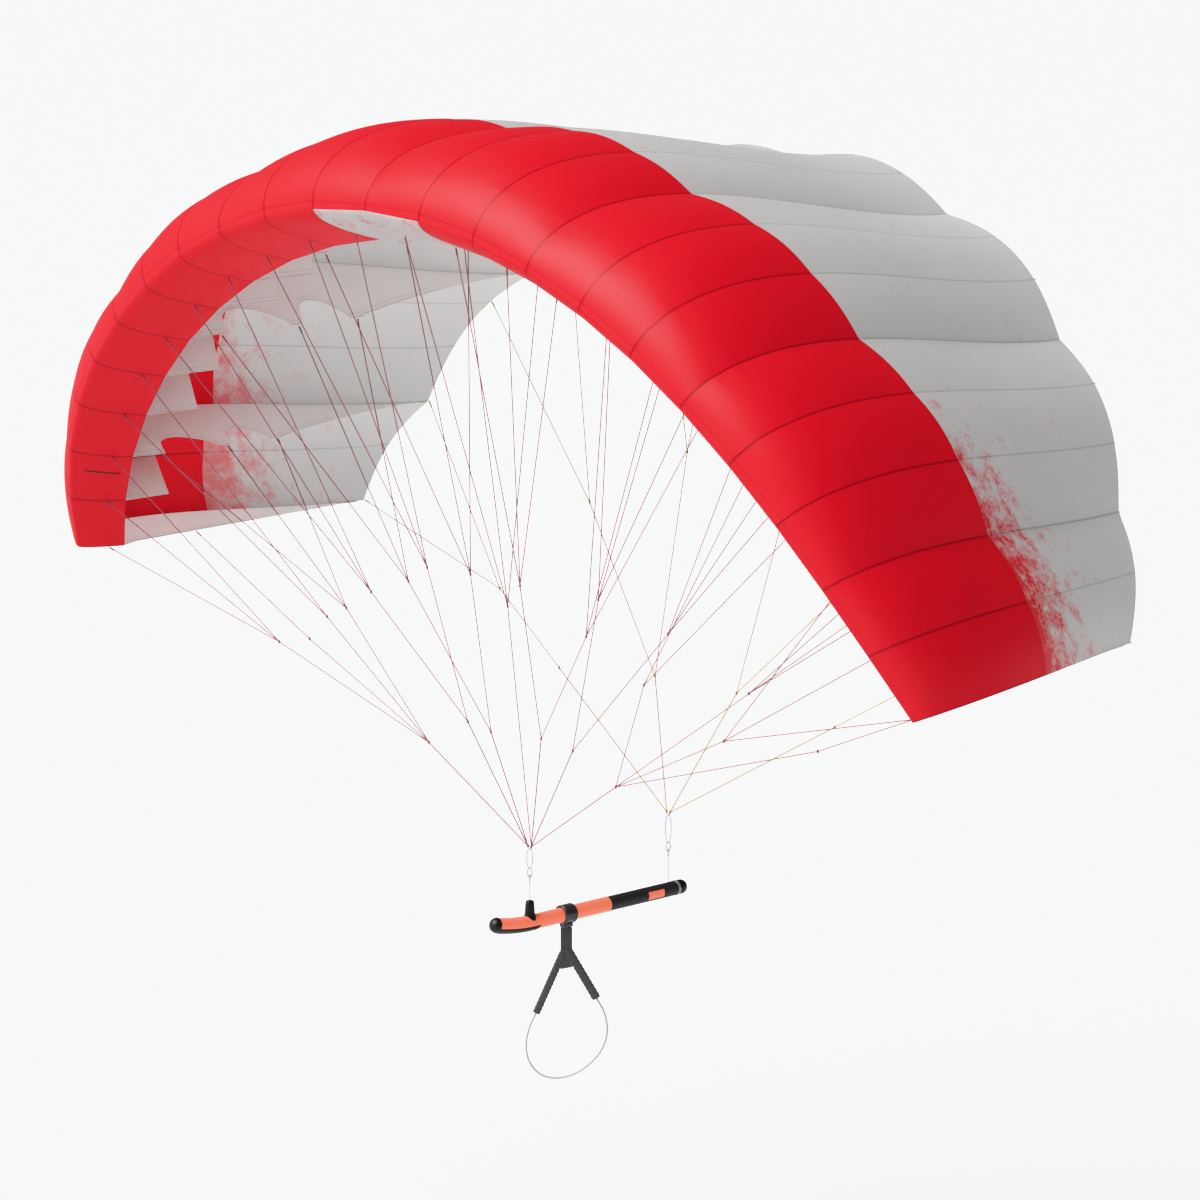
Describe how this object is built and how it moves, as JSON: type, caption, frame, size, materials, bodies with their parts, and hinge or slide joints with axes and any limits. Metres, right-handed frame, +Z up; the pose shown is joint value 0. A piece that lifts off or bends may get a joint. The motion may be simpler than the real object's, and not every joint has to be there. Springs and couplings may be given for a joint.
{
  "type": "wingfoil wing",
  "caption": "Arched single-skin soft wing with puffed cells, scalloped ribs, branching lines, a short fore-and-aft grip bar and a harness loop.",
  "frame": {"origin": "on the bar's axis inside the sliding harness ring, where the rider's hands and harness hold the wing", "axes": "+X along the span, -Y towards the leading edge, +Z up from the bar to the canopy"},
  "size_m": [2.3474, 1.0989, 1.8131],
  "materials": {
    "cloth_red": "coated woven nylon sailcloth, satin",
    "cloth_white": "coated woven nylon sailcloth, satin",
    "rib_white": "coated woven nylon sailcloth, satin",
    "line_dark": "braided polyethylene line, matte",
    "line_gold": "braided polyethylene line, matte",
    "leader_grey": "braided leader line, satin",
    "grip_coral": "soft moulded grip, matte",
    "grip_black": "soft moulded grip, matte",
    "hard_black": "moulded plastic, satin",
    "ring_grey": "moulded plastic, satin",
    "webbing": "woven polyester webbing, matte",
    "harness_line": "sheathed line, satin"
  },
  "bodies": {
    "root": {"skin_front_left_tip": "cloth_red", "skin_back_left_tip": "cloth_white", "skin_front_left_outer": "cloth_red", "skin_back_left_outer": "cloth_white", "skin_front_left_mid": "cloth_red", "skin_back_left_mid": "cloth_white", "skin_front_left_inner": "cloth_red", "skin_back_left_inner": "cloth_white", "skin_front_right_inner": "cloth_red", "skin_back_right_inner": "cloth_white", "skin_front_right_mid": "cloth_red", "skin_back_right_mid": "cloth_white", "skin_front_right_outer": "cloth_red", "skin_back_right_outer": "cloth_white", "skin_front_right_tip": "cloth_red", "skin_back_right_tip": "cloth_white", "nose_band_left": "cloth_red", "nose_band_centre": "cloth_white", "nose_band_right": "cloth_red", "rib_left_11": "rib_white", "rib_left_10": "rib_white", "rib_left_09": "rib_white", "rib_left_08": "rib_white", "rib_left_07": "rib_white", "rib_left_06": "rib_white", "rib_left_05": "rib_white", "rib_left_04": "rib_white", "rib_left_03": "rib_white", "rib_left_02": "rib_white", "rib_left_01": "rib_white", "rib_00": "rib_white", "rib_right_01": "rib_white", "rib_right_02": "rib_white", "rib_right_03": "rib_white", "rib_right_04": "rib_white", "rib_right_05": "rib_white", "rib_right_06": "rib_white", "rib_right_07": "rib_white", "rib_right_08": "rib_white", "rib_right_09": "rib_white", "rib_right_10": "rib_white", "rib_right_11": "rib_white", "bridle_left": "line_dark", "brake_lines_left": "line_gold", "bridle_right": "line_dark", "brake_lines_right": "line_gold", "leader_front": "leader_grey", "leader_rear": "leader_grey", "bar_nose": "hard_black", "grip_front": "grip_coral", "grip_rear": "grip_black", "bar_ring": "ring_grey", "bar_tail": "hard_black", "leader_knob": "hard_black", "slider_ring": "hard_black", "strap_neck": "webbing", "strap_yoke": "webbing", "strap_leg_left": "webbing", "strap_leg_right": "webbing", "harness_line": "harness_line"}
  },
  "joints": []
}
